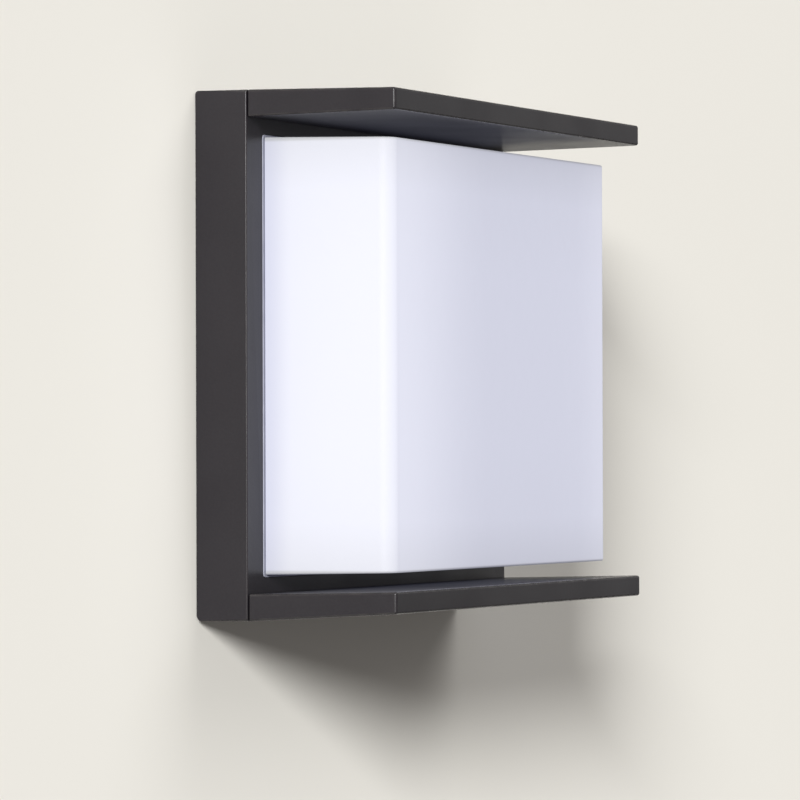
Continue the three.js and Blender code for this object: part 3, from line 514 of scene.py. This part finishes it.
def mark_edges(mesh):
    """Writes the attribute "edge": 1 in the middle of each rounded edge and 0 on the faces beside it."""
    bm = bmesh.new()
    bm.from_mesh(mesh)
    bmesh.ops.dissolve_degenerate(bm, dist=SAME_POINT, edges=bm.edges)
    layer = bm.verts.layers.float.new("edge")
    for vert in bm.verts:
        widths = [face.calc_area() / max(edge.calc_length() for edge in face.edges) for face in vert.link_faces]
        vert[layer] = 1.0 if widths and max(widths) < NARROW_FACE else 0.0
    bm.to_mesh(mesh)
    bm.free()


def shade(piece):
    """Smooth shading that keeps the large faces flat."""
    for polygon in piece.data.polygons:
        polygon.use_smooth = True
    piece.data.set_sharp_from_angle(angle=SHARP_ANGLE)
    weighted = piece.modifiers.new("weighted", "WEIGHTED_NORMAL")
    weighted.keep_sharp = True
    weighted.weight = 100


# Each of these takes an edge's two ends and the corners of its node's box, and gives the edge's share of
# the rounding: 0 leaves it sharp.


def is_short(ends):
    return (ends[0] - ends[1]).length < SHORT_EDGE


def on_side(co, low, high, near):
    return min(co.x - low.x, high.x - co.x, co.z - low.z, high.z - co.z) < near


def housing_edges(ends, low, high):
    """The housing's outer edges, finer round its front, where the plates meet it."""
    if is_short(ends) or not all(on_side(co, low, high, CASTING_SIDE) for co in ends):
        return 0.0
    return SEAM_RADIUS / EDGE_RADIUS if all(co.y < low.y + AT_FACE for co in ends) else 1.0


def plate_edges(ends, low, high):
    """A plate's edges, finer along the seam to the housing."""
    if is_short(ends):
        return 0.0
    return SEAM_RADIUS / EDGE_RADIUS if all(co.y > high.y - AT_FACE for co in ends) else 1.0


def diffuser_edges(ends, low, high):
    """The diffuser's outer edges: those across the front, and those that run back from them."""
    outside = all(on_side(co, low, high, DIFFUSER_SIDE) or co.y < low.y + DIFFUSER_SIDE for co in ends)
    root = all(co.y > high.y - AT_FACE for co in ends)
    return 1.0 if outside and not root else 0.0


finished("rear_housing", "lamp", "powder_coat", housing_edges, EDGE_RADIUS)
finished("top_plate", "lamp", "powder_coat", plate_edges, EDGE_RADIUS)
finished("bottom_plate", "lamp", "powder_coat", plate_edges, EDGE_RADIUS)
finished("diffuser", "lamp", "opal_diffuser", diffuser_edges, DIFFUSER_RADIUS)

# ---- every other CAD piece keeps its shape and gets its finish -------------------------------------

replaced = {name for obj in bpy.data.objects for name in obj.get("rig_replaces", [])}
slot_of = {part["node"]: part["material_slot"] for part in frame["record"]["subparts"]}
for name, node in frame["nodes"].items():
    if name not in replaced:
        if not node.material_slots:
            node.data.materials.append(None)
        for slot in node.material_slots:
            slot.material = FINISHES[slot_of[name]]

# ---- stage -----------------------------------------------------------------------------------------


def stage_piece(name, bm, material):
    mesh = bpy.data.meshes.new(name)
    bm.to_mesh(mesh)
    bm.free()
    mesh.materials.append(material)
    obj = link(bpy.data.objects.new(name, mesh))
    return obj


def sheet(name, corners, material, hole=None):
    """A flat sheet through four corners, with a hole through four more."""
    bm = bmesh.new()
    outer = [bm.verts.new(corner) for corner in corners]
    if hole:
        inner = [bm.verts.new(corner) for corner in hole]
        for i in range(4):
            j = (i + 1) % 4
            bm.faces.new((outer[i], outer[j], inner[j], inner[i]))
    else:
        bm.faces.new(outer)
    return stage_piece(name, bm, material)


def camera_only(obj):
    """The object lights, shades and mirrors nothing."""
    for ray in ("diffuse", "glossy", "transmission", "volume_scatter", "shadow"):
        setattr(obj, "visible_" + ray, False)


def upright(half_x, half_z, y):
    """The corners of an upright rectangle about the origin."""
    return [(-half_x, y, -half_z), (half_x, y, -half_z), (half_x, y, half_z), (-half_x, y, half_z)]


def level(half, z):
    """The corners of a level square about the origin."""
    return [(-half, -half, z), (half, -half, z), (half, half, z), (-half, half, z)]


# The wall is open behind the wall plate, so that light reaches the lantern's back. A patch that only the
# camera sees closes the opening in views from the front.
behind = CAD_BOX[1].y + WALL_GAP
plate_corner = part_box("wall_plate")[1]
opening = upright(plate_corner.x + PATCH_MARGIN, plate_corner.z + PATCH_MARGIN, behind)
plaster = plaster_wall()
wall = sheet("wall", upright(WALL_REACH, WALL_REACH, behind), plaster, hole=opening)
patch = sheet("wall_patch", opening, plaster)
camera_only(patch)

# The floor is far below and sends no light up to the lantern.
floor = sheet("floor", level(FLOOR_REACH, -FLOOR_DROP), pale_floor())
floor.visible_diffuse = False
floor.visible_glossy = False

# A pale surround closes the view all round.
surround = bmesh.new()
bmesh.ops.create_icosphere(surround, subdivisions=4, radius=BACKDROP_RADIUS)
camera_only(stage_piece("backdrop", surround, pale_glow()))

world = bpy.data.worlds.new("studio")
world.use_nodes = True
background = next(node for node in world.node_tree.nodes if node.type == "BACKGROUND")
background.inputs["Color"].default_value = (*AMBIENT_COLOUR, 1.0)
background.inputs["Strength"].default_value = AMBIENT_STRENGTH
bpy.context.scene.world = world


def aimed(name, light, direction):
    obj = link(bpy.data.objects.new(name, light))
    obj.rotation_euler = direction.to_track_quat("-Z", "Y").to_euler()
    return obj


def far_light(name, travel, angle, strength):
    light = bpy.data.lights.new(name, "SUN")
    light.angle = math.radians(angle)
    light.energy = strength
    aimed(name, light, travel)


def softbox(name, place, aim, size, power):
    light = bpy.data.lights.new(name, "AREA")
    light.shape = "DISK"
    light.size = size
    light.energy = power
    obj = aimed(name, light, aim - place)
    obj.location = place
    obj.visible_camera = False
    return obj


def leave_out(light, *objects):
    """The light doesn't reach these objects."""
    others = bpy.data.collections.new(light.name + "_leaves_out")
    for obj in objects:
        others.objects.link(obj)
    for entry in others.collection_objects:
        entry.light_linking.link_state = "EXCLUDE"
    light.light_linking.receiver_collection = others


for name, (travel, angle, strength) in FAR_LIGHTS.items():
    far_light(name, travel, angle, strength)
middle = (CAD_BOX[0] + CAD_BOX[1]) / 2
fill = softbox("fill_light", FILL_AT, middle, FILL_SIZE, FILL_POWER)
leave_out(fill, wall, patch)

# ---- camera ----------------------------------------------------------------------------------------


def photo_camera():
    turn, pitch, roll = (math.radians(angle) for angle in CAMERA_TURN)
    across, ahead = math.cos(turn), -math.sin(turn)
    forward = Vector((ahead * math.cos(pitch), across * math.cos(pitch), math.sin(pitch)))
    level_right = Vector((across, -ahead, 0.0))
    level_up = level_right.cross(forward)
    right = math.cos(roll) * level_right + math.sin(roll) * level_up
    up = -math.sin(roll) * level_right + math.cos(roll) * level_up
    data = bpy.data.cameras.new("camera")
    data.sensor_width = CAMERA_SENSOR
    data.lens = CAMERA_LENS
    camera = link(bpy.data.objects.new("camera", data))
    place = CAMERA_TARGET - forward * CAMERA_DISTANCE
    camera.matrix_world = Matrix.Translation(place) @ Matrix((right, up, -forward)).transposed().to_4x4()
    bpy.context.scene.camera = camera


photo_camera()
bpy.context.scene.view_settings.view_transform = "Standard"
